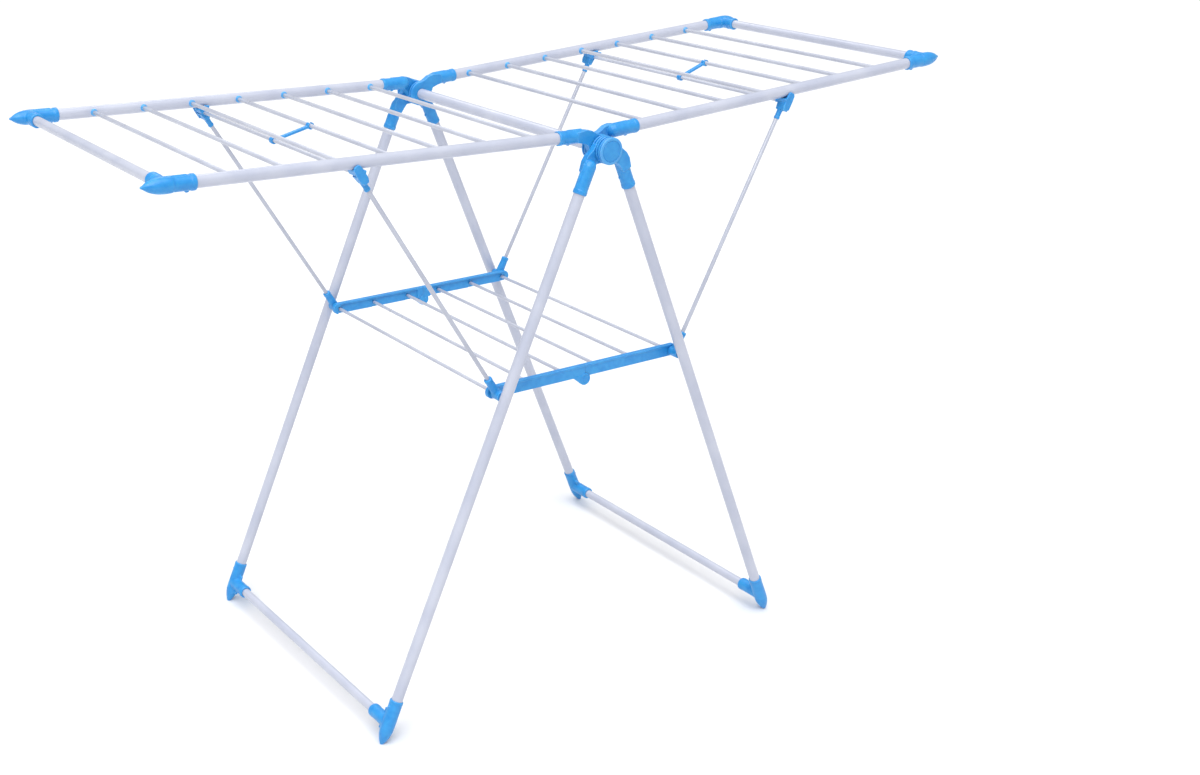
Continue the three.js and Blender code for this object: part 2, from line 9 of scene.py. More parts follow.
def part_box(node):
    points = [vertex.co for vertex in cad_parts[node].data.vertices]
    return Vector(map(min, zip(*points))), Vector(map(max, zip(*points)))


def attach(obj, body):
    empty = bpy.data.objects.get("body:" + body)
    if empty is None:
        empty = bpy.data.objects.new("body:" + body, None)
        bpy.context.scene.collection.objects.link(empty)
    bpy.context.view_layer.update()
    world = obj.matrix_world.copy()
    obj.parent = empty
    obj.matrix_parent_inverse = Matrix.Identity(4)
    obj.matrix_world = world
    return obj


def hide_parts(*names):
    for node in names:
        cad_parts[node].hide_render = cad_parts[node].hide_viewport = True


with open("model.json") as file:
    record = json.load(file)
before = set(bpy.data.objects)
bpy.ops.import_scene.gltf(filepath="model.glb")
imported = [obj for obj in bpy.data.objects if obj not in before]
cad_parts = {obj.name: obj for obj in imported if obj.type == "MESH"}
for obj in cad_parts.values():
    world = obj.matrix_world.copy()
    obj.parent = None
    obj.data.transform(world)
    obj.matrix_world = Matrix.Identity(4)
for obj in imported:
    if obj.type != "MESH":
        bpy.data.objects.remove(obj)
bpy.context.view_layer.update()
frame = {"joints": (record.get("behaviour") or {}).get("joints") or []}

MM = 0.001

# ---- sizes in millimetres ---------------------------------------------------------------------

TUBE = 19.0                   # legs and wings
TUBE_WALL = 0.8
SPINE = 19.0                  # tube between the hubs
SPINE_WALL = 1.0
CROSSBAR = 16.0               # foot bars and wing end bars
ROD = 7.0                     # drying rods
SHELF_ROD = 6.0
SUPPORT_ROD = 7.2             # arms that prop the wings
CROSS_ROD = 6.0               # bar between two arms
FIT = 0.3                     # play around whatever sits or turns in a moulding
TUBE_SIDES = 48
ROD_SIDES = 24

HUB_INNER = 256.0             # inner face of a hub, from the middle of the rack
KNUCKLE = 22.0                # radius of a hub knuckle
KNUCKLE_PITCH = 12.0
KNUCKLE_GROOVE = 3.6
CAP = 22.0                    # radius of a hub cap
BOLT = 6.0                    # radius of a hub bolt
PLUG = 8.2                    # radius of the bolt's plug inside the spine
PLUG_LENGTH = 30.0

SLEEVE = 11.2                 # radius of the plastic around a tube
SOCKET_START = 24.5           # a hub socket's sleeve, along its tube from the hub axis
SOCKET_FLOOR = 36.0
SOCKET_END = 80.0

FOOT_SLEEVE = 11.5            # radius of a foot
FOOT_LENGTH = 80.0
FOOT_BAR_HEIGHT = 35.0        # middle of a foot bar above the floor
COLLAR = 11.0                 # radius of the collar around a 16 mm tube

CORNER = 11.7                 # radius of a corner connector
CORNER_START = 697.0          # a connector's mouth, along its wing from the hub axis
NOSE_AT = 778.5               # a connector's pointed end
GROMMET = 6.0                 # radius of the collar at a drying rod

RAIL_INNER = 251.0            # faces of a shelf rail, from the middle of the rack
RAIL_OUTER = 260.0
RAIL_TOP = 577.0
RAIL_BOTTOM = 556.0
RAIL_FLANGE = 3.4             # thickness of the top flange of a rail
RAIL_RECESS = 3.6             # depth of the web behind the flange, on the inner face
RAIL_PANEL = 1.2              # the same on the outer face
ROD_SEAT = 5.2                # depth of the seat for a shelf rod
MID_HINGE = 11.0              # radius of the middle hinge

SUPPORT_BOSS = 8.6            # radius of a support's pivot
SUPPORT_PIN = 3.5
SADDLE_WALL = 3.5
SADDLE_HALF = 7.4             # half the width of a saddle's outer cheek

TIE_HALF = 4.6                # half the width of a tie
TIE_RING = 5.9                # radius of the ring round the cross rod
TIE_CLIP = 6.0                # radius of the clip under a drying rod
TIE_ROD = {"left": 4, "right": 5}

SIDES = (("left", -1), ("right", 1))
ENDS = (("near", -1), ("far", 1))
KNUCKLE_ORDER = ("right_wing", "left_wing", "left_leg", "right_leg")


# ---- meshes -----------------------------------------------------------------------------------

def new_mesh(vertices, faces):
    mesh = bpy.data.meshes.new("shape")
    mesh.from_pydata([tuple(v) for v in vertices], [], faces)
    outward = bmesh.new()
    outward.from_mesh(mesh)
    bmesh.ops.recalc_face_normals(outward, faces=outward.faces)
    outward.to_mesh(mesh)
    outward.free()
    return mesh


def axis_turn(direction):
    """The rotation that takes the X axis to a direction."""
    return Vector((1, 0, 0)).rotation_difference(Vector(direction)).to_matrix().to_4x4()


def turned(profile, start, direction, sides=TUBE_SIDES, hollow=False):
    """A turned shape. The profile lists (distance, radius); a hollow one closes on itself."""
    place = Matrix.Translation(Vector(start)) @ axis_turn(direction)
    vertices = []
    faces = []
    rings = []
    for along, radius in profile:
        ring = []
        for i in range(sides):
            angle = math.tau * i / sides
            ring.append(len(vertices))
            point = Vector((along, radius * math.cos(angle), radius * math.sin(angle)))
            vertices.append(place @ point)
        rings.append(ring)
    pairs = list(zip(rings, rings[1:]))
    if hollow:
        pairs.append((rings[-1], rings[0]))
    for a, b in pairs:
        for i in range(sides):
            j = (i + 1) % sides
            faces.append((a[i], a[j], b[j], b[i]))
    if not hollow:
        faces.append(tuple(reversed(rings[0])))
        faces.append(tuple(rings[-1]))
    return new_mesh(vertices, faces)


def bar(radius, length, start, direction, sides=TUBE_SIDES):
    """A plain round bar: a pin, or the hole that is cut for one."""
    return turned([(0, radius), (length, radius)], start, direction, sides)


def plate(outline, from_y, to_y, place=None):
    """An outline of (x, z) points with its thickness along Y."""
    count = len(outline)
    vertices = [Vector((x, from_y, z)) for x, z in outline]
    vertices += [Vector((x, to_y, z)) for x, z in outline]
    if place is not None:
        vertices = [place @ v for v in vertices]
    faces = [tuple(range(count)), tuple(reversed(range(count, 2 * count)))]
    for i in range(count):
        j = (i + 1) % count
        faces.append((i, i + count, j + count, j))
    return new_mesh(vertices, faces)


def arc(center, radius, start, end, steps=10):
    """Points on an arc in the XZ plane, angles in degrees."""
    points = []
    for i in range(steps + 1):
        angle = math.radians(start + (end - start) * i / steps)
        points.append((center[0] + radius * math.cos(angle), center[1] + radius * math.sin(angle)))
    return points


def joined(meshes):
    together = bmesh.new()
    for mesh in meshes:
        together.from_mesh(mesh)
    result = bpy.data.meshes.new("joined")
    together.to_mesh(result)
    together.free()
    return result


def shape_object(mesh):
    made = bpy.data.objects.new("shape", mesh)
    bpy.context.scene.collection.objects.link(made)
    return made


def applied(holder):
    """The object's mesh with its modifiers applied; the object is removed."""
    graph = bpy.context.evaluated_depsgraph_get()
    mesh = bpy.data.meshes.new_from_object(holder.evaluated_get(graph))
    bpy.data.objects.remove(holder)
    return mesh


def cut_away(mesh, cutters):
    """The mesh less each cutter."""
    for cutter in cutters:
        holder = shape_object(mesh)
        tool = shape_object(cutter)
        modifier = holder.modifiers.new("cut", "BOOLEAN")
        modifier.operation = "DIFFERENCE"
        modifier.solver = "EXACT"
        modifier.object = tool
        mesh = applied(holder)
        bpy.data.objects.remove(tool)
    return mesh


def moulded(shapes, cutters=(), grain=0.9, softness=4):
    """Closed shapes melted into one skin with soft corners, then cut."""
    holder = shape_object(joined(shapes))
    skin = holder.modifiers.new("skin", "REMESH")
    skin.mode = "VOXEL"
    skin.voxel_size = grain
    soften = holder.modifiers.new("soften", "SMOOTH")
    soften.factor = 0.5
    soften.iterations = softness
    return cut_away(applied(holder), cutters)


def piece(name, mesh, place, body, finish, nodes=(), crease=40):
    """Puts a mesh drawn in millimetres into the rack as a named piece that rides on a body."""
    mesh.transform(place @ Matrix.Scale(MM, 4))
    mesh.name = name
    mesh.materials.clear()
    mesh.materials.append(finish)
    made = bpy.data.objects.new(name, mesh)
    bpy.context.scene.collection.objects.link(made)
    for polygon in mesh.polygons:
        polygon.use_smooth = True
    mesh.set_sharp_from_angle(angle=math.radians(crease))
    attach(made, body)
    if nodes:
        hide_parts(*nodes)
    return made


# ---- finishes ---------------------------------------------------------------------------------

def linear(hex_colour):
    """An sRGB hex value as a linear colour."""
    channels = [int(hex_colour[i:i + 2], 16) / 255 for i in (1, 3, 5)]
    straight = [c / 12.92 if c <= 0.04045 else ((c + 0.055) / 1.055) ** 2.4 for c in channels]
    return (*straight, 1.0)


def add_node(tree, kind, inputs=None, **settings):
    """Adds a node with its settings, socket values and incoming links."""
    made = tree.nodes.new(kind)
    for name, value in settings.items():
        setattr(made, name, value)
    for socket, value in (inputs or {}).items():
        if isinstance(value, bpy.types.NodeSocket):
            tree.links.new(value, made.inputs[socket])
        else:
            made.inputs[socket].default_value = value
    return made


def new_finish(name):
    finish = bpy.data.materials.new(name)
    finish.use_nodes = True
    finish.node_tree.nodes.clear()
    return finish, finish.node_tree


def per_metre(size_mm):
    """Texture scale for a feature of a real size, in object coordinates of metres."""
    return 1.0 / (size_mm * MM)


def coated_steel(name, base, shade, roughness, peel_mm):
    """Powder coat baked on steel: a hard, slightly rippled white skin whose gloss the ripple breaks."""
    finish, tree = new_finish(name)
    where = add_node(tree, "ShaderNodeTexCoord").outputs["Object"]
    cloud = add_node(tree, "ShaderNodeTexNoise",
                     {"Vector": where, "Scale": per_metre(70), "Detail": 3.0, "Roughness": 0.5})
    tone = add_node(tree, "ShaderNodeValToRGB", {"Fac": cloud.outputs["Fac"]})
    tone.color_ramp.elements[0].position = 0.35
    tone.color_ramp.elements[0].color = linear(shade)
    tone.color_ramp.elements[1].position = 0.65
    tone.color_ramp.elements[1].color = linear(base)
    peel = add_node(tree, "ShaderNodeTexNoise",
                    {"Vector": where, "Scale": per_metre(peel_mm), "Detail": 2.0})
    handled = add_node(tree, "ShaderNodeTexNoise",
                       {"Vector": where, "Scale": per_metre(22), "Detail": 4.0})
    gloss = add_node(tree, "ShaderNodeMapRange",
                     {"Value": handled.outputs["Fac"], "From Min": 0.3, "From Max": 0.7,
                      "To Min": roughness - 0.05, "To Max": roughness + 0.07})
    ripple = add_node(tree, "ShaderNodeBump",
                      {"Height": peel.outputs["Fac"], "Strength": 0.35, "Distance": 0.05 * MM})
    skin = add_node(tree, "ShaderNodeBsdfPrincipled",
                    {"Base Color": tone.outputs["Color"], "Roughness": gloss.outputs["Result"],
                     "Normal": ripple.outputs["Normal"], "Metallic": 0.0, "IOR": 1.5,
                     "Coat Weight": 0.35, "Coat Roughness": 0.12})
    add_node(tree, "ShaderNodeOutputMaterial", {"Surface": skin.outputs["BSDF"]})
    return finish


def moulded_polypropylene(name, base, deep, pale):
    """Injection-moulded polypropylene: waxy, a little translucent, and paler on sharp edges, partly as
    rubbed wear and partly as a painted highlight where edges catch the light.
    """
    finish, tree = new_finish(name)
    where = add_node(tree, "ShaderNodeTexCoord").outputs["Object"]
    flow = add_node(tree, "ShaderNodeTexNoise",
                    {"Vector": where, "Scale": per_metre(14), "Detail": 3.0, "Distortion": 0.6})
    tone = add_node(tree, "ShaderNodeValToRGB", {"Fac": flow.outputs["Fac"]})
    tone.color_ramp.elements[0].position = 0.3
    tone.color_ramp.elements[0].color = linear(deep)
    tone.color_ramp.elements[1].position = 0.7
    tone.color_ramp.elements[1].color = linear(base)
    # Sharp convex edges are mixed towards the pale colour: partly rubbed wear, partly a painted
    # highlight on rims that catch the overhead light.
    edge = add_node(tree, "ShaderNodeNewGeometry").outputs["Pointiness"]
    edge_wear_and_highlight = add_node(tree, "ShaderNodeMapRange",
                      {"Value": edge, "From Min": 0.515, "From Max": 0.58,
                       "To Min": 0.0, "To Max": 0.55})
    colour = add_node(tree, "ShaderNodeMix",
                      {"Factor": edge_wear_and_highlight.outputs["Result"], "A": tone.outputs["Color"],
                       "B": linear(pale)}, data_type="RGBA")
    grit = add_node(tree, "ShaderNodeTexNoise",
                    {"Vector": where, "Scale": per_metre(1.2), "Detail": 2.0})
    sparkle = add_node(tree, "ShaderNodeMapRange",
                       {"Value": grit.outputs["Fac"], "From Min": 0.3, "From Max": 0.7,
                        "To Min": 0.3, "To Max": 0.42})
    grain = add_node(tree, "ShaderNodeBump",
                     {"Height": grit.outputs["Fac"], "Strength": 0.4, "Distance": 0.06 * MM})
    skin = add_node(tree, "ShaderNodeBsdfPrincipled",
                    {"Base Color": colour.outputs["Result"], "Roughness": sparkle.outputs["Result"],
                     "Normal": grain.outputs["Normal"], "IOR": 1.49,
                     "Subsurface Weight": 0.12, "Subsurface Radius": (0.4, 0.8, 1.6),
                     "Subsurface Scale": 1.5 * MM})
    add_node(tree, "ShaderNodeOutputMaterial", {"Surface": skin.outputs["BSDF"]})
    return finish


TUBE_FINISH = coated_steel("powder_coated_steel_tube", "#BFC3D1", "#B3B8C9", 0.34, 2.4)
ROD_FINISH = coated_steel("epoxy_coated_steel_rod", "#BCC0CC", "#B0B4C2", 0.30, 1.6)
# The third colour is for sharp edges: partly rubbed wear, partly a painted highlight.
PLASTIC_FINISH = moulded_polypropylene("moulded_blue_polypropylene", "#3498D9", "#2388D0", "#86C6F3")


# ---- frames of the members --------------------------------------------------------------------

JOINTS = {joint["name"]: joint for joint in frame["joints"]}
HUB = Vector(JOINTS["leg_fold"]["pos_m"])
WORLD = Matrix.Identity(4)
LINE_PASSES = 20


def across_line(node):
    """Middle line of a bar that runs along Y, from near to far."""
    low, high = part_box(node)
    middle = (low + high) / 2
    return Vector((middle.x, low.y, middle.z)) / MM, Vector((middle.x, high.y, middle.z)) / MM


def sloping_line(node, diameter, rises):
    """Middle line of a round bar that slopes in the XZ plane, from the inner to the outer end."""
    low, high = (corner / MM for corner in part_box(node))
    span_x, span_z = high.x - low.x, high.z - low.z
    run, climb = span_x, span_z
    for _ in range(LINE_PASSES):          # the box reaches past the line by the bar's own slant
        length = math.hypot(run, climb)
        run, climb = span_x - diameter * climb / length, span_z - diameter * run / length
    middle = (low + high) / 2
    side = 1 if middle.x > 0 else -1
    half = Vector((side * run / 2, 0, rises * climb / 2))
    return middle - half, middle + half


def member_frame(line):
    """Frame on the hub axis with X along a member, Z towards its offset, and the offset in mm."""
    start, end = line
    along = (end - start).normalized()
    side = 1 if along.x > 0 else -1
    width = Vector((0, side, 0))
    normal = along.cross(width)
    place = Matrix((along, width, normal)).transposed().to_4x4()
    place.translation = HUB
    offset = (start - HUB / MM).dot(normal)
    return place, offset


def side_frame(side):
    """X away from the middle, Z up, on the ground."""
    return Matrix.Rotation(math.pi if side < 0 else 0.0, 4, "Z")


LEG_LINE = {name: sloping_line(f"{name}_leg_tube_near", TUBE, -1) for name, _ in SIDES}
WING_LINE = {name: sloping_line(f"{name}_wing_tube_near", TUBE, 1) for name, _ in SIDES}
LEG_Y = abs(LEG_LINE["left"][0].y)
WING_Y = abs(WING_LINE["left"][0].y)


def steel_tube(node, start, end, diameter, body, wall=TUBE_WALL):
    """A drawn tube with its ends broken by a small chamfer."""
    length = (end - start).length
    outer = diameter / 2
    inner = outer - wall
    chamfer = wall / 3
    profile = [(0, inner), (0, outer - chamfer), (chamfer, outer),
               (length - chamfer, outer), (length, outer - chamfer), (length, inner)]
    mesh = turned(profile, start, end - start, hollow=True)
    return piece(f"{node}_steel", mesh, WORLD, body, TUBE_FINISH, [node])


def steel_rod(name, start, end, diameter, body, slot="white_rod", nodes=()):
    """A drawn rod with rounded ends."""
    length = (end - start).length
    radius = diameter / 2
    nose = radius * 0.4
    profile = [(0, radius - nose), (nose * 0.4, radius - nose * 0.25), (nose, radius),
               (length - nose, radius), (length - nose * 0.4, radius - nose * 0.25),
               (length, radius - nose)]
    mesh = turned(profile, start, end - start, sides=ROD_SIDES)
    return piece(name, mesh, WORLD, body, ROD_FINISH, nodes)


def push_button(start, direction):
    """The head of the spring button that locks a tube in its moulding."""
    return turned([(0, 3.4), (1.4, 3.0), (2.4, 1.6)], start, direction, sides=24)


# ---- hubs -------------------------------------------------------------------------------------

KNUCKLE_CENTRE = {
    f"{member}_socket_{end_name}": HUB_INNER + (i + 0.5) * KNUCKLE_PITCH
    for i, member in enumerate(KNUCKLE_ORDER) for end_name, _ in ENDS
}


def knuckle_shape(from_y, to_y):
    """A hub knuckle: a disc on the hinge axis, with soft rims and a groove round its middle."""
    width = abs(to_y - from_y)
    middle = width / 2
    floor = KNUCKLE - KNUCKLE_GROOVE
    profile = [(0, KNUCKLE - 4.6), (0.6, KNUCKLE - 1.4), (1.6, KNUCKLE), (middle - 1.6, KNUCKLE),
               (middle - 1.0, floor), (middle + 1.0, floor), (middle + 1.6, KNUCKLE),
               (width - 1.6, KNUCKLE), (width - 0.6, KNUCKLE - 1.4), (width, KNUCKLE - 4.6)]
    direction = (0, math.copysign(1, to_y - from_y), 0)
    return turned(profile, (0, from_y, 0), direction, sides=64)


def hub_socket(node, body, place, offset, tube_y, mirror):
    """A hub socket: knuckle, cranked arm and sleeve in one moulding, bored for bolt and tube."""
    knuckle_y = KNUCKLE_CENTRE[node]
    half = KNUCKLE_PITCH / 2 - FIT
    from_y = mirror * (knuckle_y - half)
    to_y = mirror * (knuckle_y + half)
    y = mirror * tube_y
    below, above = offset - SLEEVE, offset + SLEEVE
    arm = plate(
        [(12, -17.5), (19, -8), (26, below - 2), (SOCKET_FLOOR, below + 1),
         (SOCKET_FLOOR + 10, below + 3), (SOCKET_FLOOR + 10, above - 3),
         (SOCKET_START + 5, above - 0.4), (SOCKET_START - 6, above - 2.4),
         (8, KNUCKLE + 1.2), (-3, KNUCKLE - 1)],
        from_y, to_y)
    sleeve = turned(
        [(SOCKET_START - 1.5, 2.5), (SOCKET_START - 0.5, 5.6), (SOCKET_START + 1.8, 8.6),
         (SOCKET_START + 5.5, SLEEVE - 0.9), (SOCKET_START + 9, SLEEVE),
         (SOCKET_END - 8, SLEEVE - 0.1), (SOCKET_END - 6.5, SLEEVE + 0.5),
         (SOCKET_END - 1.2, SLEEVE + 0.5), (SOCKET_END, SLEEVE - 0.6)],
        (0, y, offset), (1, 0, 0))
    blend = turned([(0, 5.6), (4, 7.6), (12, SLEEVE - 0.6)],
                   (SOCKET_START + 1, (knuckle_y + tube_y) / 2 * mirror, offset - 1.5),
                   (14, (tube_y - knuckle_y) / 2 * mirror, 1.5))
    button = push_button((SOCKET_END - 22, y, below + 0.6), (0, 0, -1))
    rib = plate(
        [(SOCKET_START + 6, above - 1), (SOCKET_END - 16, above - 1),
         (SOCKET_END - 20, above + 0.9), (SOCKET_START + 9, above + 0.9)],
        y - 1.1, y + 1.1)
    bolt_hole = bar(BOLT + FIT, 200, (0, mirror * 200, 0), (0, mirror, 0), sides=32)
    tube_hole = bar(TUBE / 2 + FIT, 90, (SOCKET_FLOOR, y, offset), (1, 0, 0))
    mesh = moulded([knuckle_shape(from_y, to_y), arm, sleeve, blend, button, rib],
                   [bolt_hole, tube_hole], grain=0.65, softness=2)
    return piece(f"{node}_moulding", mesh, place, body, PLASTIC_FINISH, [node])


def hub_bolt(end_name, end):
    """A hub bolt: a plug in the spine, a flat round cap, a ring groove and a shallow dome."""
    cap_from = HUB_INNER + len(KNUCKLE_ORDER) * KNUCKLE_PITCH + FIT
    face = cap_from + 3
    profile = [
        (HUB_INNER - PLUG_LENGTH, PLUG - 1.2), (HUB_INNER - PLUG_LENGTH + 1, PLUG),
        (HUB_INNER - FIT, PLUG), (HUB_INNER - FIT, BOLT), (cap_from, BOLT),
        (cap_from, CAP - 0.6), (cap_from + 0.6, CAP), (cap_from + 1.8, CAP),
        (face - 0.3, CAP - 0.7), (face, CAP - 1.8), (face, 17.4), (face - 0.7, 17.0),
        (face - 0.7, 16.2), (face, 15.8), (face, 15.2), (face + 0.2, 10), (face + 0.3, 4),
        (face + 0.3, 0.4),
    ]
    mesh = turned(profile, HUB / MM, (0, end, 0), sides=72)
    node = f"hub_bolt_{end_name}"
    piece(f"{node}_cap", mesh, WORLD, "left_leg_frame", PLASTIC_FINISH, [node],
          crease=50)


steel_tube("hub_spine_tube", *across_line("hub_spine_tube"), SPINE, "left_leg_frame",
           wall=SPINE_WALL)
for end_name, end in ENDS:
    hub_bolt(end_name, end)


# ---- leg frames -------------------------------------------------------------------------------

def foot(node, body, place, offset, mirror, slope):
    """A foot: sleeve, crossbar collar and a bullet tip worn flat where it stands."""
    ground = (HUB.z / MM + offset * math.sin(slope)) / math.cos(slope)
    mouth = ground - FOOT_LENGTH
    bar_at = (HUB.z / MM + offset * math.sin(slope) - FOOT_BAR_HEIGHT) / math.cos(slope)
    y = mirror * LEG_Y
    sleeve = turned(
        [(mouth, FOOT_SLEEVE - 0.9), (mouth + 1.2, FOOT_SLEEVE + 0.3),
         (mouth + 5, FOOT_SLEEVE + 0.3), (mouth + 7, FOOT_SLEEVE),
         (ground - 36, FOOT_SLEEVE + 0.4), (ground - 24, FOOT_SLEEVE),
         (ground - 16, FOOT_SLEEVE - 1.6), (ground - 9, FOOT_SLEEVE - 4.0),
         (ground - 4, FOOT_SLEEVE - 6.2), (ground - 0.5, FOOT_SLEEVE - 8.2),
         (ground + 2.5, 1.4)],
        (0, y, offset), (1, 0, 0))
    collar = turned(
        [(0, 8), (3, COLLAR + 0.6), (40, COLLAR + 0.4), (42, COLLAR + 0.9), (48, COLLAR + 0.8),
         (50, COLLAR - 0.4)],
        (bar_at, y, offset), (0, -mirror, 0))
    gusset = plate(
        [(bar_at - 20, offset - 2.2), (bar_at + 18, offset - 2.2),
         (bar_at + 18, offset + 2.2), (bar_at - 20, offset + 2.2)],
        y, y - mirror * 20)
    button = push_button((mouth + 13, y, offset + FOOT_SLEEVE - 0.6), (0, 0, 1))
    leg_hole = bar(TUBE / 2 + FIT, 25, (mouth - 3, y, offset), (1, 0, 0))
    bar_hole = bar(CROSSBAR / 2 + FIT, 40, (bar_at, y - mirror * 52, offset), (0, mirror, 0))
    down = Vector((math.cos(slope), 0, -math.sin(slope)))
    block_half = 30
    block_middle = Vector((ground, y, offset)) + down * block_half
    under_floor = plate([(-block_half, -60), (block_half, -60), (block_half, 60),
                         (-block_half, 60)], -40, 40,
                        Matrix.Translation(block_middle) @ axis_turn(down))
    mesh = moulded([sleeve, collar, gusset, button], [leg_hole, bar_hole, under_floor],
                   grain=0.8, softness=4)
    return piece(f"{node}_moulding", mesh, place, body, PLASTIC_FINISH, [node])


for name, side in SIDES:
    body = f"{name}_leg_frame"
    place, offset = member_frame(LEG_LINE[name])
    slope = math.pi / 2 - math.asin(-(place @ Vector((1, 0, 0)) - HUB).z)
    for end_name, end in ENDS:
        tube = f"{name}_leg_tube_{end_name}"
        steel_tube(tube, *sloping_line(tube, TUBE, -1), TUBE, body)
        hub_socket(f"{name}_leg_socket_{end_name}", body, place, offset, LEG_Y, side * end)
        foot(f"{name}_foot_{end_name}", body, place, offset, side * end, slope)
    foot_bar = f"{name}_foot_crossbar"
    steel_tube(foot_bar, *across_line(foot_bar), CROSSBAR, body)


# ---- wings ------------------------------------------------------------------------------------

def corner_connector(node, body, place, offset, mirror, end_tube_at):
    """A corner connector: a long sleeve that ends in a pointed nose, and a side socket."""
    y = mirror * WING_Y
    sleeve = turned(
        [(CORNER_START, CORNER - 1.0), (CORNER_START + 1.2, CORNER + 0.4),
         (CORNER_START + 7, CORNER + 0.4), (CORNER_START + 8.5, CORNER - 0.4),
         (end_tube_at - 13, CORNER - 0.4), (end_tube_at - 10, CORNER + 0.5),
         (end_tube_at, CORNER + 0.7), (end_tube_at + 9, CORNER + 0.1),
         (end_tube_at + 16, CORNER - 1.4), (end_tube_at + 22, CORNER - 3.5),
         (end_tube_at + 27, CORNER - 6.2), (end_tube_at + 31, CORNER - 9.0),
         (NOSE_AT - 1, 2.0), (NOSE_AT, 0.8)],
        (0, y, offset), (1, 0, 0))
    socket = turned(
        [(0, COLLAR - 2), (3, COLLAR + 0.2), (20, COLLAR), (21.5, COLLAR + 0.8), (24.5, COLLAR + 0.8),
         (26, COLLAR), (31, COLLAR), (32.5, COLLAR + 0.8), (37, COLLAR + 0.8), (38, COLLAR - 0.4)],
        (end_tube_at, y, offset), (0, -mirror, 0))
    top = offset + CORNER
    ridge = plate(
        [(CORNER_START + 10, top - 1.5), (end_tube_at + 2, top - 1.5), (end_tube_at - 2, top + 0.8),
         (CORNER_START + 13, top + 0.8)],
        y - 1.3, y + 1.3)
    button = turned([(0, 3.6), (1.6, 3.2), (2.8, 1.7)],
                    (CORNER_START + 13, y, offset - CORNER + 0.6), (0, 0, -1), sides=24)
    side_hole = bar(TUBE / 2 + FIT, 30, (CORNER_START - 2, y, offset), (1, 0, 0))
    end_hole = bar(CROSSBAR / 2 + FIT, 32, (end_tube_at, y - mirror * 40, offset), (0, mirror, 0))
    mesh = moulded([sleeve, socket, ridge, button], [side_hole, end_hole], grain=0.8, softness=3)
    return piece(f"{node}_moulding", mesh, place, body, PLASTIC_FINISH, [node])


def grommet(name, body, place, along, offset, mirror):
    """The collar that lines a rod's hole in the side tube."""
    inside = ROD / 2 + 0.1
    profile = [(0, inside), (0, GROMMET), (3.0, GROMMET), (3.9, GROMMET - 0.4),
               (5.2, GROMMET - 1.3), (5.6, GROMMET - 1.8), (5.6, inside)]
    start = (along, mirror * (WING_Y - TUBE / 2 + 2.2), offset)
    mesh = turned(profile, start, (0, -mirror, 0), sides=32, hollow=True)
    return piece(name, mesh, place, body, PLASTIC_FINISH)


for name, side in SIDES:
    body = f"{name}_wing"
    place, offset = member_frame(WING_LINE[name])
    into_member = place.inverted()
    end_bar = f"{name}_wing_end_tube"
    end_line = across_line(end_bar)
    end_tube_at = (into_member @ (end_line[0] * MM)).x / MM
    steel_tube(end_bar, *end_line, CROSSBAR, body)
    for end_name, end in ENDS:
        tube = f"{name}_wing_tube_{end_name}"
        steel_tube(tube, *sloping_line(tube, TUBE, 1), TUBE, body)
        hub_socket(f"{name}_wing_socket_{end_name}", body, place, offset, WING_Y, side * end)
        corner_connector(f"{name}_wing_corner_{end_name}", body, place, offset, side * end,
                         end_tube_at)
    for i in range(7):
        rod = f"{name}_wing_rod_{i + 1}"
        rod_line = across_line(rod)
        steel_rod(f"{rod}_steel", *rod_line, ROD, body, nodes=[rod])
        along = (into_member @ (rod_line[0] * MM)).x / MM
        for end_name, end in ENDS:
            grommet(f"{name}_grommet_{end_name}_{i + 1}", body, place, along, offset, side * end)


# ---- shelf ------------------------------------------------------------------------------------

MID = Vector(JOINTS["shelf_middle_fold"]["pos_m"]) / MM
PIVOT = Vector(JOINTS["right_support_swing"]["pos_m"]) / MM
RAIL_MIDDLE = (RAIL_INNER + RAIL_OUTER) / 2
SHELF_ROD_X = [across_line(f"shelf_rod_right_{i + 1}")[0].x for i in range(3)]
SHELF_ROD_Z = across_line("shelf_rod_right_1")[0].z


